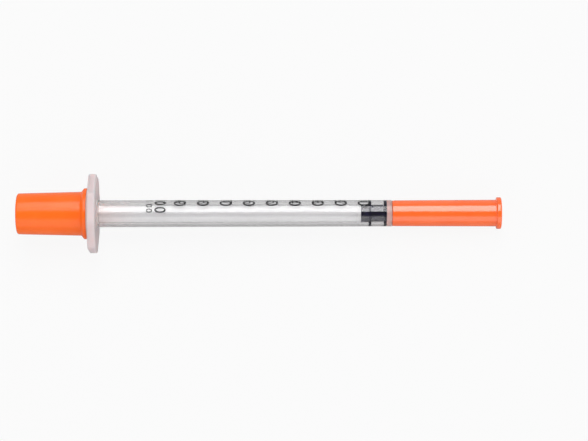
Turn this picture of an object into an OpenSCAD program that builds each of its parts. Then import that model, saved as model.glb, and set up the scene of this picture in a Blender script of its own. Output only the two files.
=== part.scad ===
// Capped insulin syringe, lying along X with its needle towards +X.
// The origin is the centre of the plunger cap's closed end. All lengths are in millimetres.

/* [Barrel] */
// Length of the tube, from the finger flange to the shoulder under the shield
tube_l = 72.56; // [71:0.1:76]
// Outside diameter of the tube at the flange
tube_rear_d = 6.66; // [6.5:0.02:7]
// Outside diameter of the tube at the shoulder
tube_front_d = 6.46; // [6.4:0.02:6.6]
// Bore diameter, with which 56.6 mm of travel is 1 ml
bore_d = 4.74; // [4.6:0.02:4.8]
// Thickness of the wall between the bore and the shoulder
end_wall = 1.1; // [1:0.1:1.6]
// Height of the bead that keeps the plunger in, above the bore's wall
bead_h = 0.22; // [0.18:0.01:0.24]
// Length of the bead along the bore
bead_l = 0.9; // [0.7:0.1:1.2]
// Distance of the bead in front of the flange's rear face
bead_set = 2.9; // [2.6:0.1:3.4]

/* [Finger flange] */
// Thickness of the flange
flange_t = 2; // [1.8:0.1:2.4]
// Flange size across the fingers
flange_w = 18.8; // [18:0.1:22]
// Flange size from flat side to flat side
flange_h = 15.2; // [14.6:0.1:16]
// Width of the flat sides that the syringe can lie on
flange_flat_w = 7.4; // [6:0.1:9]
// Width of the flange's narrow ends
flange_end_w = 6.8; // [6:0.1:9]
// Radius of the flange's corners
flange_corner_r = 1.4; // [0.8:0.1:1.4]
// Thickness of the round pad that the cap's rim seats on
pad_t = 0.37; // [0.3:0.01:0.6]
// Fillet between the flange and the tube
flange_fillet_r = 0.4; // [0.3:0.1:0.8]

/* [Cap collar] */
// Height of the collar that the plunger cap grips
collar_l = 3; // [2.5:0.1:4]
// Wall of the collar
collar_wall = 0.9; // [0.7:0.05:1]
// Radial clearance of the cap on the collar
cap_fit = 0.05; // [0.02:0.01:0.08]

/* [Needle nose] */
// Diameter of the round nose that the needle shield grips
nose_d = 4.6; // [4.4:0.05:4.7]
// Length of the nose's grip
nose_grip_l = 4.5; // [3.5:0.1:5.5]
// Length of the nose's slimmer tip
nose_tip_l = 3.2; // [2.6:0.1:4]
// Diameter of the slimmer tip at its root
nose_root_d = 3; // [2.8:0.05:3.3]
// Diameter of the slimmer tip at its end
nose_end_d = 2.5; // [2.3:0.05:2.7]
// Diameter of the cup of adhesive in the nose's end
cup_d = 1.5; // [1.3:0.05:1.7]
// Depth of the cup
cup_l = 1.4; // [1:0.1:1.8]

/* [Needle] */
// Needle outside diameter, 29 gauge
needle_d = 0.33; // [0.25:0.01:0.36]
// Diameter of the needle's bore
needle_bore_d = 0.18; // [0.12:0.01:0.2]
// Length of needle in front of the nose
needle_l = 12.7; // [8:0.1:13]
// Angle of the ground point from the needle's axis
bevel_deg = 15; // [12:1:30]
// Clearance around the needle in the nose
needle_fit = 0.015; // [0.01:0.005:0.03]

/* [Needle shield] */
// Length of the shield
shield_l = 26.86; // [26:0.1:30]
// Gap between the barrel's shoulder and the shield's mouth
shoulder_gap = 0.25; // [0.15:0.05:0.4]
// Outside diameter at the shield's mouth
shield_mouth_d = 6.25; // [6.2:0.05:6.4]
// Outside diameter at the shield's rim
shield_rear_d = 6.58; // [6.45:0.02:6.8]
// Diameter of the rim round the closed end
shield_rim_d = 7.85; // [7.4:0.05:8.4]
// Thickness of the rim
shield_rim_t = 1.15; // [0.9:0.05:1.4]
// Wall at the shield's closed end
shield_end_wall = 1.4; // [1:0.1:1.8]
// Diameter of the shield's inside at its closed end
shield_inner_end_d = 3.8; // [3.4:0.1:4]
// Radial clearance of the shield on the nose
shield_fit = 0.05; // [0.02:0.01:0.08]

/* [Plunger cap] */
// Length of the cap
cap_l = 17.34; // [16:0.1:19]
// Outside diameter at the closed end
cap_end_d = 10.1; // [9.8:0.1:10.4]
// Outside diameter where the rim's flare starts
cap_flare_d = 10.84; // [10.6:0.02:11]
// Diameter of the rim at the mouth
cap_rim_d = 12.6; // [12:0.1:13]
// Length of the rim
cap_rim_l = 0.8; // [0.6:0.05:1]
// Length of the flare behind the rim
cap_flare_l = 0.65; // [0.5:0.05:0.9]
// Wall of the cap's side
cap_wall = 0.75; // [0.65:0.05:0.85]
// Wall of the closed end
cap_end_wall = 1; // [0.8:0.1:1.2]
// Radius of the closed end's edge
cap_edge_r = 0.5; // [0.3:0.05:0.6]

/* [Stopper] */
// Length of the stopper
stopper_l = 6.3; // [6:0.1:7]
// Width of each sealing rib
rib_l = 0.66; // [0.5:0.02:0.8]
// Height of the sealing ribs over the stopper's waist
rib_h = 0.3; // [0.24:0.02:0.36]
// Distance of the rear rib from the stopper's rear end
rear_rib_set = 1.85; // [1.6:0.05:2.1]
// How much thinner the tail is than the ribs
tail_drop = 0.15; // [0.1:0.01:0.2]
// Clearance of the sealing ribs in the bore
seal_fit = 0.015; // [0.01:0.005:0.03]
// Gap between the stopper and the end of the bore at rest
stopper_gap = 0.05; // [0.03:0.01:0.1]
// Wall of rubber round the rod's head
rubber_wall = 0.75; // [0.65:0.05:0.85]

/* [Plunger rod] */
// Thickness of the rod's four ribs
rod_rib_t = 0.9; // [0.7:0.05:1.1]
// Clearance of the rod's ribs in the retaining bead
rod_gap = 0.1; // [0.06:0.01:0.14]
// Clearance of the rod's guide disc in the bore
disc_gap = 0.08; // [0.05:0.01:0.1]
// Thickness of the guide disc behind the stopper
disc_t = 0.75; // [0.6:0.05:0.9]
// Length of the neck in the stopper
neck_l = 1.5; // [1.3:0.1:1.8]
// Diameter of the neck
neck_d = 1.6; // [1.4:0.1:1.8]
// Length of the head that the stopper snaps over
head_l = 1.9; // [1.6:0.1:2.1]
// Clearance of the neck, the head and the disc against the rubber
snap_gap = 0.05; // [0.03:0.01:0.08]
// Thickness of the thumb disc
thumb_t = 1.2; // [1:0.1:1.5]
// Gap between the thumb disc and the cap's closed end
thumb_set = 0.6; // [0.4:0.1:0.9]
// Radial gap between the thumb disc and the cap
thumb_gap = 0.3; // [0.25:0.05:0.4]

/* [Printed scale] */
// Length of the scale from 0 to its last line
scale_l = 56.6; // [50:0.1:57]
// Number of units on the scale
scale_units = 100; // [40:10:100]
// Width of a line along the barrel
line_w = 0.16; // [0.1:0.01:0.2]
// Length of the unit lines round the barrel
short_line_l = 1.45; // [1.2:0.05:1.8]
// Length of the five-unit lines round the barrel
middle_line_l = 2.1; // [1.9:0.05:2.4]
// Length of the ten-unit lines round the barrel
long_line_l = 2.8; // [2.5:0.05:3]
// Thickness of the ink
ink_t = 0.02; // [0.01:0.005:0.03]
// Angle round the barrel, from the top, at which the lines start
line_start_deg = 103; // [90:1:120]

/* [Hidden] */

// Facets of round pieces, of thin round pieces and of a quarter-round edge
round_fn = 96;
thin_fn = 32;
edge_steps = 5;
// How far a cut runs past what it cuts
overrun = 0.5;
// Gap under the ink, which lies on the tube
ink_gap = 0.005;
// Units between the long lines, and between the middle ones
long_line_units = 10;
middle_line_units = 5;

// Places along X, from the cap's closed end to the shield's
pad_x = cap_l;
flange_x = pad_x + pad_t;
tube_x = flange_x + flange_t;
shoulder_x = tube_x + tube_l;
bore_end_x = shoulder_x - end_wall;
nose_grip_x = shoulder_x + nose_grip_l;
nose_end_x = nose_grip_x + nose_tip_l;
shield_x = shoulder_x + shoulder_gap;
shield_end_x = shield_x + shield_l;
needle_tip_x = nose_end_x + needle_l;
collar_x = pad_x - collar_l;
stopper_end_x = bore_end_x - stopper_gap;
stopper_x = stopper_end_x - stopper_l;
disc_x = stopper_x - snap_gap - disc_t;
thumb_x = cap_end_wall + thumb_set;
bead_x = flange_x + bead_set;

// Radii that follow from the fits
bore_r = bore_d / 2;
bead_r = bore_r - bead_h;
needle_r = needle_d / 2;
needle_hole_r = needle_r + needle_fit;
nose_r = nose_d / 2;
socket_r = nose_r + shield_fit;
rib_r = bore_r - seal_fit;
waist_r = rib_r - rib_h;
cavity_r = waist_r - rubber_wall;
head_r = cavity_r - snap_gap;
neck_hole_r = neck_d / 2 + snap_gap;
cap_grip_r = cap_flare_d / 2 - cap_wall;
collar_r = cap_grip_r - cap_fit;
cap_end_r = cap_end_d / 2 - cap_wall;
thumb_r = cap_end_r - thumb_gap;
rod_r = bead_r - rod_gap;

// Points along an arc, from angle a0 to angle a1
function arc(cx, cy, r, a0, a1) =
    [for (i = [0:edge_steps])
        let (a = a0 + (a1 - a0) * i / edge_steps)
        [cx + r * cos(a), cy + r * sin(a)]];

// Radius of the tapered tube at a place along X
function tube_r(x) =
    (tube_rear_d + (tube_front_d - tube_rear_d) * (x - tube_x) / tube_l) / 2;

// The corner at b of a path a, b, c, rounded with radius r
function rounded_corner(a, b, c, r) =
    let (u = (a - b) / norm(a - b))
    let (v = (c - b) / norm(c - b))
    let (half = acos(u * v) / 2)
    let (middle = (u + v) / norm(u + v))
    let (centre = b + middle * r / sin(half))
    let (start = b + u * r / tan(half) - centre)
    let (side = u[0] * v[1] - u[1] * v[0] > 0 ? -1 : 1)
    let (sweep = (180 - 2 * half) * side)
    [for (i = [0:edge_steps])
        let (a = sweep * i / edge_steps)
        centre + [start[0] * cos(a) - start[1] * sin(a),
                  start[0] * sin(a) + start[1] * cos(a)]];

function rounded(points, r) =
    let (n = len(points))
    [for (i = [0:n - 1])
        each rounded_corner(points[(i + n - 1) % n], points[i], points[(i + 1) % n], r)];

// Spins an outline of [radius, place along X] round the X axis
module lathe(points, facets = round_fn) {
    rotate([0, 90, 0])
        rotate_extrude($fn = facets)
            polygon(points);
}

// Flat plate across the X axis, from an outline of [Y, Z] points
module cross_plate(points, x, thickness) {
    translate([x, 0, 0])
        rotate([90, 0, 90])
            linear_extrude(thickness)
                polygon(points);
}

function flange_outline() =
    let (y1 = flange_w / 2)
    let (y0 = flange_flat_w / 2)
    let (z1 = flange_h / 2)
    let (z0 = flange_end_w / 2)
    rounded([[y1, -z0], [y1, z0], [y0, z1], [-y0, z1],
             [-y1, z0], [-y1, -z0], [-y0, -z1], [y0, -z1]], flange_corner_r);

// Outside of the barrel but for the flange's wings
function barrel_outline() =
    concat(
        [[0, collar_x], [collar_r, collar_x], [collar_r, pad_x],
         [cap_rim_d / 2, pad_x], [cap_rim_d / 2, tube_x]],
        arc(tube_r(tube_x) + flange_fillet_r, tube_x + flange_fillet_r,
            flange_fillet_r, 270, 180),
        [[tube_front_d / 2, shoulder_x],
         [nose_r, shoulder_x], [nose_r, nose_grip_x], [nose_root_d / 2, nose_grip_x],
         [nose_end_d / 2, nose_end_x], [0, nose_end_x]]);

// Inside of the barrel: the collar's well, the funnel, the bead and the bore
function bore_outline() =
    let (well_r = collar_r - collar_wall)
    let (funnel_r = (bore_r + well_r) / 2)
    let (funnel_l = funnel_r - bore_r)
    let (ramp_l = bead_l / 3)
    [[0, collar_x - overrun], [well_r, collar_x - overrun], [well_r, pad_x],
     [funnel_r, pad_x], [bore_r, pad_x + funnel_l],
     [bore_r, bead_x], [bead_r, bead_x + ramp_l],
     [bead_r, bead_x + bead_l - ramp_l], [bore_r, bead_x + bead_l],
     [bore_r, bore_end_x], [0, bore_end_x]];

module barrel() {
    color([0.86, 0.87, 0.9, 0.6])
        difference() {
            union() {
                lathe(barrel_outline());
                cross_plate(flange_outline(), flange_x, flange_t);
            }
            lathe(bore_outline());
            lathe([[0, bore_end_x - overrun], [needle_hole_r, bore_end_x - overrun],
                   [needle_hole_r, nose_end_x - cup_l], [cup_d / 2, nose_end_x],
                   [cup_d / 2, nose_end_x + overrun], [0, nose_end_x + overrun]],
                  thin_fn);
        }
}

// One printed line, of length l round the tube, centred on place x
module scale_line(x, l) {
    x0 = x - line_w / 2;
    x1 = x + line_w / 2;
    turn = l / tube_r(x) * 180 / PI;
    r0 = tube_r(x0) + ink_gap;
    r1 = tube_r(x1) + ink_gap;
    rotate([0, 90, 0])
        rotate([0, 0, 180 - line_start_deg - turn])
            rotate_extrude(angle = turn, $fn = round_fn)
                polygon([[r0, x0], [r0 + ink_t, x0], [r1 + ink_t, x1], [r1, x1]]);
}

module scale_lines() {
    pitch = scale_l / scale_units;
    color([0.12, 0.12, 0.13])
        for (unit = [0:scale_units])
            scale_line(bore_end_x - unit * pitch,
                       unit % long_line_units == 0 ? long_line_l
                       : unit % middle_line_units == 0 ? middle_line_l
                       : short_line_l);
}

module needle() {
    needle_x = bore_end_x + needle_fit;
    point_l = needle_d / tan(bevel_deg);
    color([0.75, 0.76, 0.78])
        difference() {
            lathe([[0, needle_x], [needle_r, needle_x],
                   [needle_r, needle_tip_x], [0, needle_tip_x]], thin_fn);
            lathe([[0, needle_x - overrun], [needle_bore_d / 2, needle_x - overrun],
                   [needle_bore_d / 2, needle_tip_x + overrun],
                   [0, needle_tip_x + overrun]], thin_fn);
            // The ground point slants across the needle, lowest at its tip
            translate([needle_tip_x, 0, -needle_r])
                rotate([0, bevel_deg, 0])
                    translate([-2 * point_l, -needle_d, 0])
                        cube([4 * point_l, 2 * needle_d, 2 * point_l]);
        }
}

// The adhesive fills the cup and stands a little proud of it round the needle
module needle_adhesive() {
    root_x = nose_end_x - cup_l;
    bead_top_x = nose_end_x + cup_l / 4;
    slope = (cup_d / 2 - needle_hole_r) / cup_l;
    color([0.9, 0.88, 0.8, 0.8])
        lathe([[needle_hole_r, root_x + 2 * needle_fit / slope],
               [cup_d / 2 - needle_fit, nose_end_x],
               [cup_d / 3, nose_end_x + cup_l / 8],
               [needle_hole_r, bead_top_x]], thin_fn);
}

module needle_shield() {
    mouth_r = shield_mouth_d / 2;
    rear_r = shield_rear_d / 2;
    rim_r = shield_rim_d / 2;
    rim_x = shield_end_x - shield_rim_t;
    lead_l = mouth_r - socket_r;
    lead_r = mouth_r + (rear_r - mouth_r) * lead_l / shield_l;
    socket_end_x = nose_grip_x + 2 * shoulder_gap;
    edge_r = shield_rim_t / 5;
    lead_in = lead_l / 3;
    color([0.98, 0.47, 0.19])
        difference() {
            lathe(concat(
                [[0, shield_x], [mouth_r, shield_x], [lead_r + lead_in / 4, shield_x + lead_l],
                 [rear_r, rim_x]],
                arc(rim_r - edge_r, rim_x + edge_r, edge_r, -90, 0),
                arc(rim_r - edge_r, shield_end_x - edge_r, edge_r, 0, 90),
                [[0, shield_end_x]]));
            lathe([[0, shield_x - overrun], [socket_r + lead_in + overrun, shield_x - overrun],
                   [socket_r, shield_x + lead_in], [socket_r, socket_end_x],
                   [socket_r - shoulder_gap, socket_end_x + shoulder_gap],
                   [shield_inner_end_d / 2, shield_end_x - shield_end_wall],
                   [0, shield_end_x - shield_end_wall]]);
        }
}

module plunger_cap() {
    end_r = cap_end_d / 2;
    flare_r = cap_flare_d / 2;
    rim_r = cap_rim_d / 2;
    rim_x = cap_l - cap_rim_l;
    flare_x = rim_x - cap_flare_l;
    edge_r = cap_rim_l / 5;
    grip_x = collar_x - cap_fit;
    lead_in = cap_wall / 3;
    color([0.99, 0.47, 0.19])
        difference() {
            lathe(concat(
                [[0, 0]],
                arc(end_r - cap_edge_r, cap_edge_r, cap_edge_r, -90, 0),
                [[flare_r, flare_x]],
                arc(rim_r - edge_r, rim_x + edge_r, edge_r, -60, 0),
                [[rim_r, cap_l], [0, cap_l]]));
            lathe([[0, cap_end_wall], [cap_end_r, cap_end_wall],
                   [cap_grip_r - cap_wall / 4, grip_x - lead_in], [cap_grip_r, grip_x],
                   [cap_grip_r, cap_l - lead_in],
                   [cap_grip_r + lead_in + overrun, cap_l + overrun], [0, cap_l + overrun]]);
        }
}

// Ribs in a cross, the thumb disc, the guide disc and the head in the stopper
module plunger_rod() {
    rib_x = thumb_x + thumb_t / 2;
    neck_x = disc_x + disc_t;
    head_x = neck_x + neck_l;
    edge_r = thumb_t / 4;
    color([0.93, 0.93, 0.95])
        union() {
            lathe(concat(
                [[0, thumb_x]],
                arc(thumb_r - edge_r, thumb_x + edge_r, edge_r, -90, 0),
                arc(thumb_r - edge_r, thumb_x + thumb_t - edge_r, edge_r, 0, 90),
                [[0, thumb_x + thumb_t]]));
            intersection() {
                union() {
                    translate([rib_x, -rod_rib_t / 2, -rod_r])
                        cube([disc_x + disc_t / 2 - rib_x, rod_rib_t, 2 * rod_r]);
                    translate([rib_x, -rod_r, -rod_rib_t / 2])
                        cube([disc_x + disc_t / 2 - rib_x, 2 * rod_r, rod_rib_t]);
                }
                lathe([[0, thumb_x], [rod_r, thumb_x], [rod_r, neck_x], [0, neck_x]]);
            }
            lathe([[0, disc_x], [bore_r - disc_gap, disc_x], [bore_r - disc_gap, neck_x],
                   [neck_d / 2, neck_x], [neck_d / 2, head_x],
                   [head_r, head_x], [head_r, head_x + head_l / 2],
                   [head_r / 2, head_x + head_l], [0, head_x + head_l]]);
        }
}

module stopper() {
    tail_r = rib_r - tail_drop;
    rear_rib_x = stopper_x + rear_rib_set;
    front_rib_x = stopper_end_x - rib_l;
    cavity_x = disc_x + disc_t + neck_l - snap_gap;
    cavity_l = head_l + 2 * snap_gap;
    tail_edge = tail_drop / 2;
    color([0.1, 0.1, 0.12])
        difference() {
            lathe([[0, stopper_x], [tail_r - tail_edge, stopper_x],
                   [tail_r, stopper_x + tail_edge], [tail_r, rear_rib_x],
                   [rib_r, rear_rib_x], [rib_r, rear_rib_x + rib_l],
                   [waist_r, rear_rib_x + rib_l], [waist_r, front_rib_x],
                   [rib_r, front_rib_x], [rib_r, stopper_end_x], [0, stopper_end_x]]);
            lathe([[0, stopper_x - overrun], [neck_hole_r, stopper_x - overrun],
                   [neck_hole_r, cavity_x], [cavity_r, cavity_x],
                   [cavity_r, cavity_x + cavity_l], [0, cavity_x + cavity_l]]);
        }
}

barrel();
scale_lines();
needle();
needle_adhesive();
needle_shield();
plunger_rod();
stopper();
plunger_cap();
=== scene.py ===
import math

import bmesh
import bpy
from mathutils import Matrix, Vector

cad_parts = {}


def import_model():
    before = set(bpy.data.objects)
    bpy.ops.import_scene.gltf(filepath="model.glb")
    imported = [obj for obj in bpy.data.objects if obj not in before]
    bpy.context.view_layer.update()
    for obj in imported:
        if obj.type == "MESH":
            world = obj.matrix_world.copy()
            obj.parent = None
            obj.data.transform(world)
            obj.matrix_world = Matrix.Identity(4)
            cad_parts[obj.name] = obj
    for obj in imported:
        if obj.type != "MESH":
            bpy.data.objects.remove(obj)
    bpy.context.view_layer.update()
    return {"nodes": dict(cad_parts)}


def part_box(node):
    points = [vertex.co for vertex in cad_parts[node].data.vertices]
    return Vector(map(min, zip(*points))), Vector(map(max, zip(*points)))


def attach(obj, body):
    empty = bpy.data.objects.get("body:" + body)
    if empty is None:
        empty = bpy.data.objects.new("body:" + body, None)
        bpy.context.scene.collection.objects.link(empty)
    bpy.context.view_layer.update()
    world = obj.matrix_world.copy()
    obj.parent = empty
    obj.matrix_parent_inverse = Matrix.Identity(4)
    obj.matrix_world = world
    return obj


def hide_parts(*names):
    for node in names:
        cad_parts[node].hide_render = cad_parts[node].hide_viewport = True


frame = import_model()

# A capped insulin syringe along X: plunger cap, flange and barrel, and needle shield.
# Lengths in this script are in millimetres, and each finished mesh is scaled to metres.
MM = 0.001
TINY = 1e-6
SEGMENTS = 192
FILLET_STEPS = 6
SHARP_DEG = 32


def span(node):
    """Lowest and highest corner of a CAD node, in millimetres."""
    low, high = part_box(node)
    return low / MM, high / MM


# Places along X and radii that the frame gives
cap_low, cap_high = span("plunger_cap")
barrel_low, barrel_high = span("barrel")
shield_low, shield_high = span("needle_shield")
stopper_low, stopper_high = span("stopper")
rod_low, rod_high = span("plunger_rod")
needle_low, needle_high = span("needle")
glue_low, glue_high = span("needle_adhesive")

# Barrel. Three values aren't the solid's, because those draw lines that a real one doesn't show:
# a smaller fillet at the tube's root, a lower bead, and an end face that reaches nearer the shield.
# The two widths are the straight parts of the flange's outline, between its cut corners.
PAD_T = 0.37
FLANGE_T = 2.0
FLANGE_FLAT_W = 7.4
FLANGE_END_W = 6.8
FLANGE_CORNER_R = 1.4
FLANGE_EDGE_R = 0.35
FLANGE_FILLET_R = 0.2
PAD_FILLET_R = 0.3
PAD_RUN_OUT = 1.2
TUBE_REAR_R = 3.33
TUBE_FRONT_R = 3.23
BORE_R = 2.37
END_WALL = 1.1
SHOULDER_GAP = 0.25
SHOULDER_REACH = 0.17
BEAD_SET = 2.9
BEAD_L = 0.9
BEAD_H = 0.05
COLLAR_R = 4.62
COLLAR_WALL = 0.9
NOSE_R = 2.3
NOSE_GRIP_L = 4.5
NOSE_ROOT_R = 1.5
NOSE_END_R = 1.25
CUP_R = 0.75
CUP_L = 1.4
NEEDLE_HOLE_R = 0.18
SMALL_EDGE_R = 0.12

PAD_X = cap_high.x
FLANGE_X = PAD_X + PAD_T
TUBE_X = FLANGE_X + FLANGE_T
SHOULDER_X = shield_low.x - SHOULDER_GAP
END_FACE_X = SHOULDER_X + SHOULDER_REACH
BORE_END_X = SHOULDER_X - END_WALL
GRIP_END_X = SHOULDER_X + NOSE_GRIP_L
NOSE_END_X = barrel_high.x

# Camera, from the photograph's frame of 588 by 441 pixels. Seen distances are in metres.
PHOTO_W_PX = 588
PHOTO_H_PX = 441
CAP_END_PX = 17.4
SHIELD_END_PX = 500.8
AXIS_Y_LEFT_PX = 213.85
AXIS_Y_RIGHT_PX = 213.05
AXIS_LEFT_PX = 16
AXIS_RIGHT_PX = 500
DISTANCE_PX = 2200
SENSOR_MM = 36
NEAREST_SEEN = 0.01
FARTHEST_SEEN = 100
VIEW_ELEVATION_DEG = 80


def tube_radius(x):
    """Outside radius of the slightly tapered tube at a place along X."""
    share = (x - TUBE_X) / (SHOULDER_X - TUBE_X)
    return TUBE_REAR_R + (TUBE_FRONT_R - TUBE_REAR_R) * share


def fillet(before, corner, after, radius):
    """Points of the arc that rounds the corner of a flat path."""
    before, corner, after = Vector(before), Vector(corner), Vector(after)
    to_before = (before - corner).normalized()
    to_after = (after - corner).normalized()
    half = math.acos(max(-1, min(1, to_before.dot(to_after)))) / 2
    if math.pi / 2 - half < TINY:
        return [tuple(corner)]
    reach = radius / math.tan(half)
    centre = corner + (to_before + to_after).normalized() * radius / math.sin(half)
    start = corner + to_before * reach - centre
    side = -1 if to_before.x * to_after.y - to_before.y * to_after.x > 0 else 1
    sweep = (math.pi - 2 * half) * side
    points = []
    for i in range(FILLET_STEPS + 1):
        a = sweep * i / FILLET_STEPS
        points.append((centre.x + start.x * math.cos(a) - start.y * math.sin(a),
                       centre.y + start.x * math.sin(a) + start.y * math.cos(a)))
    return points


def softened(path):
    """A path of (x, radius) or (x, radius, fillet) points with its inner corners rounded."""
    points = []
    for i, point in enumerate(path):
        if len(point) > 2 and 0 < i < len(path) - 1:
            points += fillet(path[i - 1][:2], point[:2], path[i + 1][:2], point[2])
        else:
            points.append(point[:2])
    return points


def turned(path, closed=False, segments=SEGMENTS):
    """Mesh turned about the X axis. A radius is a number, or a function of the angle."""
    mesh = bmesh.new()
    angles = [2 * math.pi * i / segments for i in range(segments)]
    rings = []
    for x, radius in path:
        if not callable(radius) and radius < TINY:
            rings.append([mesh.verts.new((x, 0, 0))])
            continue
        ring = []
        for a in angles:
            r = radius(a) if callable(radius) else radius
            ring.append(mesh.verts.new((x, r * math.sin(a), r * math.cos(a))))
        rings.append(ring)
    for one, other in zip(rings, rings[1:] + (rings[:1] if closed else [])):
        for i in range(segments):
            j = (i + 1) % segments
            if len(one) > 1 and len(other) > 1:
                mesh.faces.new((one[i], one[j], other[j], other[i]))
            elif len(one) > 1:
                mesh.faces.new((one[i], one[j], other[0]))
            elif len(other) > 1:
                mesh.faces.new((one[0], other[j], other[i]))
    bmesh.ops.recalc_face_normals(mesh, faces=mesh.faces)
    return mesh


def finished(name, mesh, material, body, replaced=(), smooth=True):
    """Turns a mesh in millimetres into a piece that rides on a body."""
    data = bpy.data.meshes.new(name)
    mesh.to_mesh(data)
    mesh.free()
    data.transform(Matrix.Scale(MM, 4))
    data.materials.append(material)
    for face in data.polygons:
        face.use_smooth = smooth
    data.set_sharp_from_angle(angle=math.radians(SHARP_DEG))
    piece = bpy.data.objects.new(name, data)
    bpy.context.scene.collection.objects.link(piece)
    if smooth:
        weighted = piece.modifiers.new("weighted_normals", "WEIGHTED_NORMAL")
        weighted.keep_sharp = True
    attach(piece, body)
    if replaced:
        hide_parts(*replaced)


# Materials

# Most of a noise lies between these two levels
NOISE_LOW = 0.3
NOISE_HIGH = 0.7


def new_material(name):
    """A material with its Principled shader and its object coordinates."""
    material = bpy.data.materials.new(name)
    material.use_nodes = True
    nodes = material.node_tree.nodes
    shader = nodes["Principled BSDF"]
    place = nodes.new("ShaderNodeTexCoord")
    return material, nodes, material.node_tree.links, shader, place.outputs["Object"]


def noise(nodes, links, place, scale, detail=3, stretch=(1, 1, 1)):
    """Noise of a given scale per metre, which may be stretched along the axes."""
    mapping = nodes.new("ShaderNodeMapping")
    mapping.inputs["Scale"].default_value = stretch
    links.new(place, mapping.inputs["Vector"])
    texture = nodes.new("ShaderNodeTexNoise")
    texture.inputs["Scale"].default_value = scale
    texture.inputs["Detail"].default_value = detail
    links.new(mapping.outputs["Vector"], texture.inputs["Vector"])
    return texture.outputs["Fac"]


def ramp(nodes, links, value, stops):
    """A colour ramp through (position, colour) stops."""
    node = nodes.new("ShaderNodeValToRGB")
    elements = node.color_ramp.elements
    while len(elements) < len(stops):
        elements.new(0.5)
    for element, (position, colour) in zip(elements, stops):
        element.position = position
        element.color = (*colour, 1)
    links.new(value, node.inputs["Fac"])
    return node.outputs["Color"]


def mottled(nodes, links, value, colours, low=NOISE_LOW, high=NOISE_HIGH):
    """A colour between a dark and a light one, by a noise."""
    dark, light = colours
    return ramp(nodes, links, value, [(low, dark), (high, light)])


def ranged(nodes, links, value, low, high, start=NOISE_LOW, end=NOISE_HIGH):
    """Maps a noise, or another value between start and end, onto a range."""
    node = nodes.new("ShaderNodeMapRange")
    node.inputs["From Min"].default_value = start
    node.inputs["From Max"].default_value = end
    node.inputs["To Min"].default_value = low
    node.inputs["To Max"].default_value = high
    links.new(value, node.inputs["Value"])
    return node.outputs["Result"]


def joined(nodes, links, operation, one, other):
    """A Math node that joins two values, either of which may be a plain number."""
    node = nodes.new("ShaderNodeMath")
    node.operation = operation
    for socket, value in zip(node.inputs, (one, other)):
        if isinstance(value, (int, float)):
            socket.default_value = value
        else:
            links.new(value, socket)
    return node.outputs["Value"]


def bump(nodes, links, shader, height, strength, distance):
    """Fine relief on a shader, with its distance in millimetres."""
    node = nodes.new("ShaderNodeBump")
    node.inputs["Strength"].default_value = strength
    node.inputs["Distance"].default_value = distance * MM
    links.new(height, node.inputs["Height"])
    links.new(node.outputs["Normal"], shader.inputs["Normal"])


def scattering(shader, weight, bleed, depth):
    """Light that wanders under the surface, with its depth in millimetres."""
    shader.inputs["Subsurface Weight"].default_value = weight
    shader.inputs["Subsurface Radius"].default_value = bleed
    shader.inputs["Subsurface Scale"].default_value = depth * MM


# Depths and reliefs are in millimetres, and noise scales are per metre
PLASTIC_CLOUD_SCALE = 180
PLASTIC_GLOSS_SCALE = 700
PLASTIC_GLOSS_STRETCH = (0.35, 1, 1)
PLASTIC_GRAIN_SCALE = 5200
PLASTIC_GRAIN_STRENGTH = 0.2
PLASTIC_IOR = 1.5
PLASTIC_BLEED_DEPTH = 1.2
WARM_BLEED = (1, 0.5, 0.25)
EVEN_BLEED = (1, 1, 1)


def moulded_plastic(name, colours, rough, grain, glow=0.1, bleed=WARM_BLEED, shine=0.5):
    """Moulded plastic with cloudy colour, uneven gloss, a fine grain and some light inside."""
    material, nodes, links, shader, place = new_material(name)
    cloud = noise(nodes, links, place, PLASTIC_CLOUD_SCALE, detail=4)
    links.new(mottled(nodes, links, cloud, colours), shader.inputs["Base Color"])
    patches = noise(nodes, links, place, PLASTIC_GLOSS_SCALE,
                    detail=5, stretch=PLASTIC_GLOSS_STRETCH)
    links.new(ranged(nodes, links, patches, *rough), shader.inputs["Roughness"])
    relief = noise(nodes, links, place, PLASTIC_GRAIN_SCALE)
    bump(nodes, links, shader, relief, PLASTIC_GRAIN_STRENGTH, grain)
    shader.inputs["IOR"].default_value = PLASTIC_IOR
    shader.inputs["Specular IOR Level"].default_value = shine
    scattering(shader, glow, bleed, PLASTIC_BLEED_DEPTH)
    return material


FLOW_SCALE = 260
FLOW_STRETCH = (0.25, 1, 1)
FLOW_LEVELS = (0.25, 0.75)
FLOW_SHADE = 0.99
CLEAR_IOR = 1.49
MILKY_ROUGH = 0.42
MILKY_CLEARNESS = 0.44
MILKY_BLEED = (1, 0.8, 0.75)
MILKY_DEPTH = 1.5
# Milky zones of the barrel, several of whose tints paint light: start, end, soft edges before and
# after, amount, and tint
BARREL_ZONES = [
    # Root of the tube: a faint pink haze that paints the flange's orange glow fading along the
    # wall, and a short pale rim painted over the shade at the fillet
    (TUBE_X + 0.02, TUBE_X + 0.03, 0.01, 10, 0.06, (1, 0.94, 0.93)),
    (TUBE_X + 0.02, TUBE_X + 0.19, 0.01, 0.5, 0.7, (1, 0.88, 0.87)),
    # Milky flange, with a pink tint that paints the cap's orange light bleeding into it, and the
    # pad behind it, tinted deeper orange to paint the light of the cap's rim shining through
    (PAD_X - 0.04, TUBE_X + 0.01, 0.05, 0.01, 1, (1, 0.8, 0.81)),
    (PAD_X - 0.04, FLANGE_X - 0.05, 0.05, 0.1, 1, (1, 0.66, 0.56)),
    # End wall and its face towards the shield, tinted orange to paint the shield's orange light
    # shining into them, which also paints over the shade of the gap at the shield's mouth
    (BORE_END_X + 0.03, END_FACE_X + 0.01, 0.03, 0.02, 0.7, (1, 0.58, 0.54)),
    (END_FACE_X + 0.01, shield_low.x, 0.01, 0.1, 0.7, (1, 0.66, 0.5)),
    # Nose
    (shield_low.x + 0.28, GRIP_END_X + 0.23, 0.3, 0.1, 0.3, (0.97, 0.94, 0.92)),
]


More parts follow.
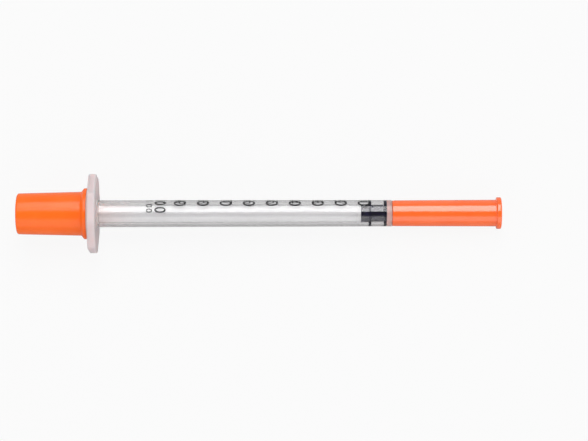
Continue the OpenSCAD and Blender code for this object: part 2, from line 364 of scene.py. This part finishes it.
def zone(nodes, links, along, start, end, rise, fall):
    """1 between two places along X and 0 beyond them, with soft edges."""
    up = ranged(nodes, links, along, 0, 1, (start - rise) * MM, start * MM)
    down = ranged(nodes, links, along, 1, 0, end * MM, (end + fall) * MM)
    return joined(nodes, links, "MINIMUM", up, down)


def with_zones(nodes, links, place, colour, zones):
    """The colour with each zone's tint blended in, where a tint may paint light, and how milky each
    place is.
    """
    parts = nodes.new("ShaderNodeSeparateXYZ")
    links.new(place, parts.inputs["Vector"])
    milky = 0
    for *place_and_edges, amount, tint in zones:
        here = zone(nodes, links, parts.outputs["X"], *place_and_edges)
        blend = nodes.new("ShaderNodeMix")
        blend.data_type = "RGBA"
        links.new(here, blend.inputs["Factor"])
        links.new(colour, blend.inputs["A"])
        blend.inputs["B"].default_value = (*tint, 1)
        colour = blend.outputs["Result"]
        part = joined(nodes, links, "MULTIPLY", here, amount)
        milky = joined(nodes, links, "MAXIMUM", part, milky)
    return colour, milky


def clear_plastic(name, tint, rough, clearness, zones=()):
    """Clear moulding with faint flow marks, which may have milky zones whose tints may paint light.
    """
    material, nodes, links, shader, place = new_material(name)
    flow = noise(nodes, links, place, FLOW_SCALE, detail=4, stretch=FLOW_STRETCH)
    shade = tuple(c * FLOW_SHADE for c in tint)
    colour = mottled(nodes, links, flow, (shade, tint), *FLOW_LEVELS)
    gloss = ranged(nodes, links, flow, *rough)
    shader.inputs["IOR"].default_value = CLEAR_IOR
    shader.inputs["Transmission Weight"].default_value = clearness
    if zones:
        colour, milky = with_zones(nodes, links, place, colour, zones)
        clear = ranged(nodes, links, milky, clearness, MILKY_CLEARNESS, 0, 1)
        links.new(clear, shader.inputs["Transmission Weight"])
        extra = ranged(nodes, links, milky, 0, MILKY_ROUGH, 0, 1)
        gloss = joined(nodes, links, "ADD", gloss, extra)
        scattering(shader, 1, MILKY_BLEED, MILKY_DEPTH)
    links.new(colour, shader.inputs["Base Color"])
    links.new(gloss, shader.inputs["Roughness"])
    return material


def absorb(material, colour, density):
    """Adds a faint tint that grows with the depth of the plastic."""
    nodes, links = material.node_tree.nodes, material.node_tree.links
    volume = nodes.new("ShaderNodeVolumeAbsorption")
    volume.inputs["Color"].default_value = (*colour, 1)
    volume.inputs["Density"].default_value = density / MM
    links.new(volume.outputs["Volume"], nodes["Material Output"].inputs["Volume"])


RUBBER_COLOURS = ((0.006, 0.0045, 0.019), (0.012, 0.01, 0.036))
RUBBER_ROUGH = (0.28, 0.4)
RUBBER_CLOUD_SCALE = 900
RUBBER_GRAIN_SCALE = 6000
RUBBER_GRAIN_STRENGTH = 0.3
RUBBER_GRAIN = 0.01
RUBBER_IOR = 1.2


def rubber(name):
    """Black siliconed rubber, a little uneven in gloss."""
    material, nodes, links, shader, place = new_material(name)
    cloud = noise(nodes, links, place, RUBBER_CLOUD_SCALE, detail=4)
    links.new(mottled(nodes, links, cloud, RUBBER_COLOURS), shader.inputs["Base Color"])
    links.new(ranged(nodes, links, cloud, *RUBBER_ROUGH), shader.inputs["Roughness"])
    relief = noise(nodes, links, place, RUBBER_GRAIN_SCALE)
    bump(nodes, links, shader, relief, RUBBER_GRAIN_STRENGTH, RUBBER_GRAIN)
    shader.inputs["IOR"].default_value = RUBBER_IOR
    return material


INK_COLOURS = ((0.004, 0.004, 0.005), (0.02, 0.02, 0.022))
INK_LEVELS = (0.35, 0.75)
INK_ROUGH = (0.4, 0.6)
INK_PATCH_SCALE = 2600
INK_SHINE = 0.25


def printed_ink(name):
    """Thin black ink, patchy where the print is weak."""
    material, nodes, links, shader, place = new_material(name)
    patch = noise(nodes, links, place, INK_PATCH_SCALE, detail=4)
    colour = mottled(nodes, links, patch, INK_COLOURS, *INK_LEVELS)
    links.new(colour, shader.inputs["Base Color"])
    links.new(ranged(nodes, links, patch, *INK_ROUGH), shader.inputs["Roughness"])
    shader.inputs["Specular IOR Level"].default_value = INK_SHINE
    return material


STEEL_COLOURS = ((0.42, 0.43, 0.45), (0.56, 0.57, 0.59))
STEEL_ROUGH = (0.16, 0.28)
STEEL_MARK_SCALE = 9000
STEEL_MARK_STRETCH = (0.02, 1, 1)
STEEL_MARK_STRENGTH = 0.2
STEEL_MARK_DEPTH = 0.004


def drawn_steel(name):
    """Polished steel with fine drawing marks along X."""
    material, nodes, links, shader, place = new_material(name)
    marks = noise(nodes, links, place, STEEL_MARK_SCALE, stretch=STEEL_MARK_STRETCH)
    links.new(mottled(nodes, links, marks, STEEL_COLOURS), shader.inputs["Base Color"])
    links.new(ranged(nodes, links, marks, *STEEL_ROUGH), shader.inputs["Roughness"])
    bump(nodes, links, shader, marks, STEEL_MARK_STRENGTH, STEEL_MARK_DEPTH)
    shader.inputs["Metallic"].default_value = 1
    return material


ORANGE_CAP = moulded_plastic("cap_orange", ((0.9, 0.133, 0.01), (0.94, 0.147, 0.014)),
                             rough=(0.2, 0.25), grain=0.012, shine=0.3)
ORANGE_SHIELD = moulded_plastic("shield_orange", ((0.88, 0.124, 0.016), (0.92, 0.139, 0.021)),
                                rough=(0.15, 0.19), grain=0.004, shine=0.8)
MILKY = moulded_plastic("rod_milky", ((0.925, 0.925, 0.935), (0.955, 0.955, 0.96)),
                        rough=(0.4, 0.5), grain=0.01, glow=1, bleed=EVEN_BLEED)
CLEAR = clear_plastic("barrel_clear", (1, 0.995, 1), (0.01, 0.025), 1, BARREL_ZONES)
absorb(CLEAR, (0.5, 0.47, 0.52), density=0.025)
GLUE = clear_plastic("adhesive_clear", (0.93, 0.9, 0.78), (0.1, 0.2), clearness=0.7)
RUBBER = rubber("stopper_rubber")
INK = printed_ink("scale_ink")
STEEL = drawn_steel("needle_steel")


# Barrel

def polar_radius(points):
    """The distance from the axis to a closed outline, as a function of the angle."""
    edges = list(zip(points, points[1:] + points[:1]))

    def radius(a):
        ray = Vector((math.sin(a), math.cos(a)))
        for (y0, z0), (y1, z1) in edges:
            along = Vector((y1 - y0, z1 - z0))
            across = ray.x * along.y - ray.y * along.x
            if abs(across) < TINY:
                continue
            reach = (y0 * along.y - z0 * along.x) / across
            share = (y0 * ray.y - z0 * ray.x) / across
            if reach > 0 and -TINY <= share <= 1 + TINY:
                return reach
        raise ValueError("the outline doesn't go round the axis")
    return radius


def flange_rings():
    """Rings from the flange's rear face to its front face, with rounded edges."""
    y1, z1 = barrel_high.y, barrel_high.z
    y0, z0 = FLANGE_FLAT_W / 2, FLANGE_END_W / 2
    corners = [(y1, -z0), (y1, z0), (y0, z1), (-y0, z1),
               (-y1, z0), (-y1, -z0), (-y0, -z1), (y0, -z1)]
    outline = []
    for i, corner in enumerate(corners):
        outline += fillet(corners[i - 1], corner, corners[(i + 1) % len(corners)], FLANGE_CORNER_R)
    edge = polar_radius(outline)

    def inset(depth):
        return lambda a: edge(a) - depth

    quarter = [math.pi / 2 * i / FILLET_STEPS for i in range(FILLET_STEPS + 1)]
    rings = [(FLANGE_X, inset(2 * FLANGE_EDGE_R))]
    for a in quarter:
        x = FLANGE_X + FLANGE_EDGE_R * (1 - math.cos(a))
        rings.append((x, inset(FLANGE_EDGE_R * (1 - math.sin(a)))))
    for a in quarter:
        x = TUBE_X - FLANGE_EDGE_R * (1 - math.sin(a))
        rings.append((x, inset(FLANGE_EDGE_R * (1 - math.cos(a)))))
    rings.append((TUBE_X, inset(2 * FLANGE_EDGE_R)))
    return rings


def barrel_mesh():
    """The whole clear moulding: collar, pad, flange, tube, nose, cup and bore."""
    well_r = COLLAR_R - COLLAR_WALL
    funnel_r = (BORE_R + well_r) / 2
    pad_r = cap_high.y
    bead_x = FLANGE_X + BEAD_SET
    rear = softened([
        (PAD_X, well_r),
        (barrel_low.x, well_r, SMALL_EDGE_R), (barrel_low.x, COLLAR_R, SMALL_EDGE_R),
        (PAD_X, COLLAR_R), (PAD_X, pad_r, SMALL_EDGE_R / 3),
        (FLANGE_X, pad_r, PAD_FILLET_R), (FLANGE_X, pad_r + PAD_RUN_OUT * PAD_FILLET_R)])
    front = softened([
        (TUBE_X, TUBE_REAR_R + 2 * FLANGE_FILLET_R), (TUBE_X, TUBE_REAR_R, FLANGE_FILLET_R),
        (END_FACE_X, TUBE_FRONT_R, SMALL_EDGE_R), (END_FACE_X, NOSE_R),
        (GRIP_END_X, NOSE_R, 2 * SMALL_EDGE_R), (GRIP_END_X, NOSE_ROOT_R, SMALL_EDGE_R),
        (NOSE_END_X, NOSE_END_R, SMALL_EDGE_R), (NOSE_END_X, CUP_R),
        (NOSE_END_X - CUP_L, NEEDLE_HOLE_R), (BORE_END_X, NEEDLE_HOLE_R),
        (BORE_END_X, BORE_R, SMALL_EDGE_R / 2),
        (bead_x + BEAD_L, BORE_R, BEAD_L), (bead_x + BEAD_L / 2, BORE_R - BEAD_H, BEAD_L),
        (bead_x, BORE_R, BEAD_L),
        (PAD_X + funnel_r - BORE_R, BORE_R), (PAD_X, funnel_r)])
    return turned(rear + flange_rings() + front, closed=True)


finished("barrel_moulding", barrel_mesh(), CLEAR, "barrel", ["barrel"])


# Printed scale

INK_GAP = 0.006
INK_T = 0.018
SCALE_L = 56.6
SCALE_UNITS = 100
NUMBER_STEP = 10
# Digits run round the tube: their tops point at the needle, and the last digit is the lowest.
# A pitch is measured round the tube, and the last digit's angle from the top.
DIGIT_H = 3.0
DIGIT_W = 1.98
DIGIT_PITCH = 2.4
DIGIT_PEN = 0.4
LAST_DIGIT_DEG = 41
HUNDRED_H = 2.84
HUNDRED_W = 1.5
HUNDRED_PITCH = 2.08
HUNDRED_PEN = 0.36
HUNDRED_LAST_DEG = 6
HUNDRED_SHIFT = 0.84
VOLUME_TEXT = "1.00"
VOLUME_H = 1.55
VOLUME_W = 1.0
VOLUME_PITCH = 1.32
VOLUME_PEN = 0.22
VOLUME_LAST_DEG = 3
VOLUME_X = 32.7
POINT_PITCH_SHARE = 0.6
PEN_STEP = 0.1
MITRE_LIMIT = 0.5
ARC_STEP_DEG = 9
ARC_MIN_STEPS = 6
ROUND_TURN = 360


def bow(centre, radii, start_deg, sweep_deg):
    """Points along an elliptical arc, in shares of a digit's width and height."""
    steps = max(ARC_MIN_STEPS, round(abs(sweep_deg) / ARC_STEP_DEG))
    points = []
    for i in range(steps + 1):
        a = math.radians(start_deg + sweep_deg * i / steps)
        points.append((centre[0] + radii[0] * math.cos(a), centre[1] + radii[1] * math.sin(a)))
    return points


def ring(centre, radii):
    """A closed ellipse, whose last point repeats its first."""
    return bow(centre, radii, 0, ROUND_TURN)


# Pen strokes of each digit, from (0, 0) at the lower left to (1, 1) at the upper right
STROKES = {
    "0": [ring((0.5, 0.5), (0.5, 0.5))],
    "1": [[(0.3, 0.78), (0.62, 1), (0.62, 0)]],
    "2": [bow((0.5, 0.71), (0.48, 0.29), 170, -205) + [(0, 0), (1, 0)]],
    "3": [bow((0.47, 0.76), (0.43, 0.24), 150, -240), bow((0.47, 0.26), (0.53, 0.26), 90, -240)],
    "4": [[(0.74, 0), (0.74, 1), (0, 0.3), (1, 0.3)]],
    "5": [[(0.92, 1), (0.18, 1), (0.08, 0.52)] + bow((0.47, 0.32), (0.53, 0.32), 125, -275)],
    "6": [ring((0.5, 0.3), (0.5, 0.3)), bow((0.85, 0.35), (0.85, 0.65), 180, -85)],
    "7": [[(0, 1), (1, 1), (0.35, 0)]],
    "8": [ring((0.5, 0.77), (0.42, 0.23)), ring((0.5, 0.27), (0.5, 0.27))],
    "9": [ring((0.5, 0.7), (0.5, 0.3)), bow((0.15, 0.65), (0.85, 0.65), 0, -85)],
    ".": [[(0.5, 0), (0.5, 0.001)]],
}


def evened(points):
    """A path cut into steps no longer than the pen step."""
    cut = [points[0]]
    for a, b in zip(points, points[1:]):
        count = max(1, math.ceil((b - a).length / PEN_STEP))
        cut += [a.lerp(b, i / count) for i in range(1, count + 1)]
    return cut


def ribbon(points, pen):
    """Left and right edges of a pen stroke along a flat path, square at open ends."""
    closed = (points[0] - points[-1]).length < TINY
    if closed:
        points = points[:-1]
    sides = []
    count = len(points)
    for i, point in enumerate(points):
        before = points[i - 1] if closed or i else point
        after = points[(i + 1) % count] if closed or i < count - 1 else point
        into = (point - before).normalized() if before != point else (after - point).normalized()
        out = (after - point).normalized() if after != point else into
        along = (into + out).normalized()
        across = Vector((-along.y, along.x)) * pen / 2 / max(MITRE_LIMIT, into.dot(along))
        reach = Vector((0, 0))
        if not closed and i == 0:
            reach = -along * pen / 2
        if not closed and i == count - 1:
            reach = along * pen / 2
        sides.append((point + across + reach, point - across + reach))
    return sides, closed


def print_digit(target, digit, x, angle, size, pen):
    """Inks a digit on the tube, centred on a place along X and an angle from the top."""
    width, height = size[0] - pen, size[1] - pen

    def on_tube(point, lift):
        along = x + point.y
        r = tube_radius(along) + lift
        a = angle - point.x / tube_radius(x)
        return target.verts.new((along, r * math.sin(a), r * math.cos(a)))

    for stroke in STROKES[digit]:
        path = [Vector(((px - 0.5) * width, (py - 0.5) * height)) for px, py in stroke]
        sides, closed = ribbon(evened(path), pen)
        rows = []
        for left, right in sides:
            rows.append([on_tube(left, INK_GAP), on_tube(right, INK_GAP),
                         on_tube(right, INK_GAP + INK_T), on_tube(left, INK_GAP + INK_T)])
        for a, b in zip(rows, rows[1:] + (rows[:1] if closed else [])):
            for i in range(4):
                j = (i + 1) % 4
                target.faces.new((a[i], a[j], b[j], b[i]))
        if not closed:
            target.faces.new(rows[0])
            target.faces.new(reversed(rows[-1]))


def print_number(target, text, x, last_deg, size, pitch, pen):
    """Prints a number whose last digit is centred on an angle from the top."""
    angle = math.radians(last_deg)
    for digit in reversed(text):
        print_digit(target, digit, x, angle, size, pen)
        angle += pitch / tube_radius(x) * (POINT_PITCH_SHARE if digit == "." else 1)


def scale_numbers():
    """The numbers 10 to 100, and the volume beside the last line."""
    target = bmesh.new()
    for units in range(NUMBER_STEP, SCALE_UNITS, NUMBER_STEP):
        x = BORE_END_X - SCALE_L * units / SCALE_UNITS
        print_number(target, str(units), x, LAST_DIGIT_DEG, (DIGIT_W, DIGIT_H),
                     DIGIT_PITCH, DIGIT_PEN)
    hundred_x = BORE_END_X - SCALE_L + HUNDRED_SHIFT
    print_number(target, str(SCALE_UNITS), hundred_x, HUNDRED_LAST_DEG, (HUNDRED_W, HUNDRED_H),
                 HUNDRED_PITCH, HUNDRED_PEN)
    print_number(target, VOLUME_TEXT, VOLUME_X, VOLUME_LAST_DEG, (VOLUME_W, VOLUME_H),
                 VOLUME_PITCH, VOLUME_PEN)
    bmesh.ops.recalc_face_normals(target, faces=target.faces)
    return target


finished("scale_numbers", scale_numbers(), INK, "barrel", smooth=False)


def carry_over(node, material):
    """Gives a CAD node that stays a better material."""
    for slot in frame["nodes"][node].material_slots:
        slot.material = material


carry_over("scale_lines", INK)


# Needle and adhesive

NEEDLE_BORE_R = 0.09
NEEDLE_SEGMENTS = 48
BEVEL_DEG = 15
BEVEL_SECOND_DEG = 24
BEVEL_SIDE_SHARE = 0.35
ADHESIVE_SEGMENTS = 96
ADHESIVE_STEPS = 8


def needle_mesh():
    """A thin tube whose end is ground to a slanted point, lowest at its tip."""
    x0, x1 = needle_low.x, needle_high.x
    needle_r = needle_high.z
    slope = math.tan(math.radians(BEVEL_DEG))
    steep = math.tan(math.radians(BEVEL_SECOND_DEG))

    mesh = turned([(x0, NEEDLE_BORE_R), (x0, needle_r), (x1, needle_r), (x1, NEEDLE_BORE_R)],
                  closed=True, segments=NEEDLE_SEGMENTS)
    for vertex in mesh.verts:
        place = vertex.co
        if place.x > x1 - TINY:
            back = (place.z + needle_r) / slope
            side = abs(place.y) * (1 / slope - 1 / steep) * BEVEL_SIDE_SHARE
            place.x = min(place.x, x1 - back - side)
    return mesh


def adhesive_mesh():
    """Cured resin in the nose's cup, with a curved top that climbs the needle."""
    top = glue_high.x
    hole = NEEDLE_HOLE_R
    rim = glue_high.z
    path = [(glue_low.x, hole), (NOSE_END_X, rim)]
    for i in range(1, ADHESIVE_STEPS + 1):
        share = i / ADHESIVE_STEPS
        path.append((NOSE_END_X + (top - NOSE_END_X) * share ** 2, rim + (hole - rim) * share))
    return turned(path, closed=True, segments=ADHESIVE_SEGMENTS)


finished("needle_tube", needle_mesh(), STEEL, "barrel", ["needle"])
finished("adhesive_ring", adhesive_mesh(), GLUE, "barrel", ["needle_adhesive"])


# Stopper and plunger rod

STOPPER_RIB_L = 0.7
STOPPER_WAIST_R = 2.055
STOPPER_TAIL_R = 2.205
REAR_RIB_SET = 1.85
RIB_EDGE_R = 0.06
# The squeezed rubber wets the bore's wall, so the ribs reach a hair into it
SQUEEZE = 0.03
NECK_R = 0.8
SNAP_GAP = 0.05
NECK_L = 1.5
HEAD_L = 1.9
HEAD_R = 1.255
DISC_T = 0.75
DISC_R = 2.29
ROD_R = 2.055
ROD_RIB_T = 0.9
ROD_FILLET_R = 1.5
THUMB_T = 1.2
ROD_EDGE_R = 0.1
THUMB_EDGE_R = 3 * ROD_EDGE_R


def stopper_mesh():
    """Tail, two squeezed sealing ribs, a waist, and the socket for the rod's head."""
    x0, x1 = stopper_low.x, stopper_high.x
    rear = x0 + REAR_RIB_SET
    rear_end = rear + STOPPER_RIB_L
    front = x1 - STOPPER_RIB_L
    rib_r = BORE_R + SQUEEZE
    neck_r = NECK_R + SNAP_GAP
    cavity_r = HEAD_R + SNAP_GAP
    head_x = x0 - SNAP_GAP + NECK_L
    cavity_x = head_x - SNAP_GAP
    cavity_end = head_x + HEAD_L + SNAP_GAP
    return turned(softened([
        (x1, 0), (x1, rib_r, RIB_EDGE_R), (front, rib_r, RIB_EDGE_R),
        (front, STOPPER_WAIST_R, RIB_EDGE_R / 2), (rear_end, STOPPER_WAIST_R, RIB_EDGE_R / 2),
        (rear_end, rib_r, RIB_EDGE_R), (rear, rib_r, RIB_EDGE_R),
        (rear, STOPPER_TAIL_R, RIB_EDGE_R / 3), (x0, STOPPER_TAIL_R, RIB_EDGE_R),
        (x0, neck_r, SNAP_GAP), (cavity_x, neck_r),
        (cavity_x, cavity_r, RIB_EDGE_R), (cavity_end, cavity_r, RIB_EDGE_R),
        (cavity_end, 0)]))


def cross_radius(a):
    """Distance from the axis to the edge of the rod's cross, whose inner corners are rounded."""
    half = ROD_RIB_T / 2
    small, large = sorted((abs(math.sin(a)), abs(math.cos(a))))
    centre = half + ROD_FILLET_R
    if half * large > centre * small:
        return min(ROD_R, half / max(small, TINY))
    along = centre * (small + large)
    return along - math.sqrt(along ** 2 - 2 * centre ** 2 + ROD_FILLET_R ** 2)


def rod_mesh():
    """Thumb disc, four ribs, guide disc, neck and head, all in one moulding."""
    x0 = rod_low.x
    ribs_x = x0 + THUMB_T
    thumb_r = rod_high.y
    disc_x = stopper_low.x - SNAP_GAP - DISC_T
    neck_x = disc_x + DISC_T
    head_x = neck_x + NECK_L
    head_end = head_x + HEAD_L
    rear = softened([
        (x0, 0), (x0, thumb_r, THUMB_EDGE_R), (ribs_x, thumb_r, THUMB_EDGE_R),
        (ribs_x, ROD_R + ROD_EDGE_R)])
    ribs = [(ribs_x, cross_radius), (disc_x, cross_radius)]
    front = softened([
        (disc_x, ROD_R + ROD_EDGE_R), (disc_x, DISC_R, ROD_EDGE_R),
        (neck_x, DISC_R, ROD_EDGE_R), (neck_x, NECK_R, ROD_EDGE_R),
        (head_x, NECK_R), (head_x, HEAD_R, ROD_EDGE_R),
        (head_x + HEAD_L / 2, HEAD_R, ROD_EDGE_R), (head_end, HEAD_R / 2, ROD_EDGE_R),
        (head_end, 0)])
    return turned(rear + ribs + front)


finished("stopper_rubber_piece", stopper_mesh(), RUBBER, "stopper", ["stopper"])
finished("plunger_rod_moulding", rod_mesh(), MILKY, "plunger_rod", ["plunger_rod"])


# Needle shield and plunger cap

SHIELD_MOUTH_R = 3.125
SHIELD_REAR_R = 3.29
SHIELD_RIM_T = 1.15
SHIELD_END_WALL = 1.4
SHIELD_INNER_END_R = 1.9
SHIELD_FIT = 0.05
SHIELD_EDGE_R = 0.22
CAP_END_R = 5.05
CAP_FLARE_R = 5.42
CAP_RIM_L = 0.8
CAP_FLARE_L = 0.65
CAP_WALL = 0.75
CAP_END_WALL = 1.0
CAP_EDGE_R = 0.5
CAP_FIT = 0.05
COLLAR_L = 3.0


def shield_mesh():
    """Tapered sleeve with a rim round its closed end, and its socket and cavity."""
    x0, x1 = shield_low.x, shield_high.x
    end_x = x1 - SHIELD_END_WALL
    rim_r = shield_high.z
    rim_x = x1 - SHIELD_RIM_T
    socket_r = NOSE_R + SHIELD_FIT
    socket_end = GRIP_END_X + 2 * SHOULDER_GAP
    lead = (SHIELD_MOUTH_R - socket_r) / 3
    lip_r = lead / 2
    return turned(softened([
        (x1, 0), (x1, rim_r, SHIELD_EDGE_R), (rim_x, rim_r, SHIELD_EDGE_R),
        (rim_x, SHIELD_REAR_R, SHIELD_EDGE_R),
        (x0 + 3 * lead, SHIELD_MOUTH_R + lead / 4, 2 * lead),
        (x0, SHIELD_MOUTH_R, lip_r), (x0, socket_r + lead, lip_r), (x0 + lead, socket_r, lip_r),
        (socket_end, socket_r), (socket_end + SHOULDER_GAP, socket_r - SHOULDER_GAP),
        (end_x, SHIELD_INNER_END_R, SHIELD_EDGE_R), (end_x, 0)]))


def cap_mesh():
    """Tapered cup with a flared rim, and the step inside that grips the collar."""
    x1 = cap_high.x
    rim_r = cap_high.y
    rim_x = x1 - CAP_RIM_L
    flare_x = rim_x - CAP_FLARE_L
    grip_r = CAP_FLARE_R - CAP_WALL
    grip_x = x1 - COLLAR_L - CAP_FIT
    lead = CAP_WALL / 3
    return turned(softened([
        (0, 0), (0, CAP_END_R, CAP_EDGE_R), (flare_x, CAP_FLARE_R, CAP_EDGE_R / 3),
        (rim_x, rim_r, CAP_RIM_L / 3), (x1, rim_r, CAP_RIM_L / 10),
        (x1, grip_r + lead, lead / 3), (x1 - lead, grip_r), (grip_x, grip_r),
        (grip_x - lead, grip_r - lead), (CAP_END_WALL, CAP_END_R - CAP_WALL, CAP_EDGE_R),
        (CAP_END_WALL, 0)]))


finished("shield_moulding", shield_mesh(), ORANGE_SHIELD, "needle_shield",
         ["needle_shield"])
finished("cap_moulding", cap_mesh(), ORANGE_CAP, "plunger_cap", ["plunger_cap"])


# Floor, world, lamps and camera

FLOOR_SIZE = 20
FLOOR_SHADE = 0.47
FLOOR_MOTTLE = 0.005
FLOOR_CLOUD_SCALE = 3
FLOOR_ROUGH = 0.9
FLOOR_SHINE = 0.1
# Shares of plain white in what the floor shows to the camera, and in gloss and through glass
FLOOR_WHITE = 0.91
FLOOR_WHITE_IN_GLASS = 0.14
# Lamps, with angles from the top, and with distances and sizes in metres
KEY_ANGLE_DEG = 31
KEY_DISTANCE = 0.9
KEY_SIZE = (0.44, 0.84)
KEY_RADIANCE = 5.3
FILL_ANGLE_DEG = -62
FILL_DISTANCE = 1.2
FILL_SIZE = (3.4, 0.95)
FILL_RADIANCE = 1.2
END_ANGLE_DEG = 58
END_DISTANCE = 0.9
END_SIZE = (0.7, 0.7)
FRONT_RADIANCE = 1.6
REAR_RADIANCE = 0.5
# Brightness of the sky by height, from the horizon at 0 to overhead at 1
SKY_LEVELS = [(0, 0.9), (0.1, 0.9), (0.2, 0.5), (0.5, 0.6), (0.72, 0.6), (0.93, 0.15)]
SKY_STRENGTH = 0.8


def white_share(nodes, links):
    """How white a ray finds the floor: camera, glossy and transmission rays show the background."""
    rays = nodes.new("ShaderNodeLightPath")
    white = 0
    shares = {"Is Camera Ray": FLOOR_WHITE, "Is Glossy Ray": FLOOR_WHITE_IN_GLASS,
              "Is Transmission Ray": FLOOR_WHITE_IN_GLASS}
    for name, share in shares.items():
        part = joined(nodes, links, "MULTIPLY", rays.outputs[name], share)
        white = joined(nodes, links, "MAXIMUM", part, white)
    return white


def floor_material():
    """White paper, whose shadow shows faintly."""
    material, nodes, links, shader, place = new_material("floor_paper")
    cloud = noise(nodes, links, place, FLOOR_CLOUD_SCALE)
    dark = (FLOOR_SHADE * (1 - FLOOR_MOTTLE),) * 3
    light = (FLOOR_SHADE * (1 + FLOOR_MOTTLE),) * 3
    links.new(mottled(nodes, links, cloud, (dark, light)), shader.inputs["Base Color"])
    shader.inputs["Roughness"].default_value = FLOOR_ROUGH
    shader.inputs["Specular IOR Level"].default_value = FLOOR_SHINE
    white = nodes.new("ShaderNodeEmission")
    blend = nodes.new("ShaderNodeMixShader")
    links.new(white_share(nodes, links), blend.inputs["Fac"])
    links.new(shader.outputs["BSDF"], blend.inputs[1])
    links.new(white.outputs["Emission"], blend.inputs[2])
    links.new(blend.outputs["Shader"], nodes["Material Output"].inputs["Surface"])
    material.cycles.emission_sampling = "NONE"
    return material


def floor():
    """A plain pale floor that touches the flange's lower side and the shield's rim."""
    rest = Vector((TUBE_X, 0, barrel_low.z))
    rim = Vector((shield_high.x - SHIELD_RIM_T / 2, 0, shield_low.z))
    tilt = math.atan2(rim.z - rest.z, rim.x - rest.x)
    mesh = bmesh.new()
    bmesh.ops.create_grid(mesh, x_segments=1, y_segments=1, size=FLOOR_SIZE / 2)
    data = bpy.data.meshes.new("floor")
    mesh.to_mesh(data)
    mesh.free()
    data.materials.append(floor_material())
    plane = bpy.data.objects.new("floor", data)
    bpy.context.scene.collection.objects.link(plane)
    plane.rotation_euler = (0, -tilt, 0)
    plane.location = rest * MM


def world():
    """A pale dome, white at the horizon and dim overhead."""
    dome = bpy.data.worlds.new("dome")
    dome.use_nodes = True
    nodes, links = dome.node_tree.nodes, dome.node_tree.links
    place = nodes.new("ShaderNodeTexCoord")
    parts = nodes.new("ShaderNodeSeparateXYZ")
    links.new(place.outputs["Generated"], parts.inputs["Vector"])
    levels = [(height, (level,) * 3) for height, level in SKY_LEVELS]
    links.new(ramp(nodes, links, parts.outputs["Z"], levels), nodes["Background"].inputs["Color"])
    nodes["Background"].inputs["Strength"].default_value = SKY_STRENGTH
    bpy.context.scene.world = dome


def softbox(name, angle_deg, distance, size, radiance, centre, heading_deg=90):
    """A lamp at an angle from the top, towards a heading counted from +X."""
    lamp = bpy.data.lights.new(name, "AREA")
    lamp.shape = "RECTANGLE"
    lamp.size, lamp.size_y = size
    lamp.energy = radiance * math.pi * size[0] * size[1]
    shown = bpy.data.objects.new(name, lamp)
    bpy.context.scene.collection.objects.link(shown)
    turn = Matrix.Rotation(math.radians(heading_deg - 90), 4, "Z")
    turn = turn @ Matrix.Rotation(-math.radians(angle_deg), 4, "X")
    shown.location = centre + turn @ Vector((0, 0, distance))
    shown.rotation_euler = turn.to_euler()
    shown.visible_camera = False


def camera():
    """The photograph's view: nearly straight down, with the needle to the right."""
    pixel_mm = (shield_high.x - cap_low.x) / (SHIELD_END_PX - CAP_END_PX)
    slope = (AXIS_Y_RIGHT_PX - AXIS_Y_LEFT_PX) / (AXIS_RIGHT_PX - AXIS_LEFT_PX)
    middle_y = AXIS_Y_LEFT_PX + slope * (PHOTO_W_PX / 2 - AXIS_LEFT_PX)
    a = math.radians(VIEW_ELEVATION_DEG)
    to_camera = Vector((0, -math.cos(a), math.sin(a)))
    up = Vector((0, math.sin(a), math.cos(a)))
    target = Vector((cap_low.x + (PHOTO_W_PX / 2 - CAP_END_PX) * pixel_mm, 0, 0))
    target -= up * (PHOTO_H_PX / 2 - middle_y) * pixel_mm
    lens = bpy.data.cameras.new("photo_camera")
    lens.sensor_width = SENSOR_MM
    lens.lens = SENSOR_MM * DISTANCE_PX / PHOTO_W_PX
    lens.clip_start = NEAREST_SEEN
    lens.clip_end = FARTHEST_SEEN
    shown = bpy.data.objects.new("photo_camera", lens)
    bpy.context.scene.collection.objects.link(shown)
    shown.location = (target + to_camera * DISTANCE_PX * pixel_mm) * MM
    roll = Matrix.Rotation(math.atan(slope), 4, "Z")
    turn = Matrix((Vector((1, 0, 0)), up, to_camera)).transposed().to_4x4()
    shown.rotation_euler = (turn @ roll).to_euler()
    bpy.context.scene.camera = shown


floor()
world()
middle = Vector(((cap_low.x + shield_high.x) / 2, 0, 0)) * MM
softbox("key_softbox", KEY_ANGLE_DEG, KEY_DISTANCE, KEY_SIZE, KEY_RADIANCE, middle)
softbox("fill_softbox", FILL_ANGLE_DEG, FILL_DISTANCE, FILL_SIZE, FILL_RADIANCE, middle)
softbox("front_softbox", END_ANGLE_DEG, END_DISTANCE, END_SIZE, FRONT_RADIANCE, middle, 0)
softbox("rear_softbox", END_ANGLE_DEG, END_DISTANCE, END_SIZE, REAR_RADIANCE, middle, 180)
camera()
bpy.context.scene.view_settings.view_transform = "Standard"
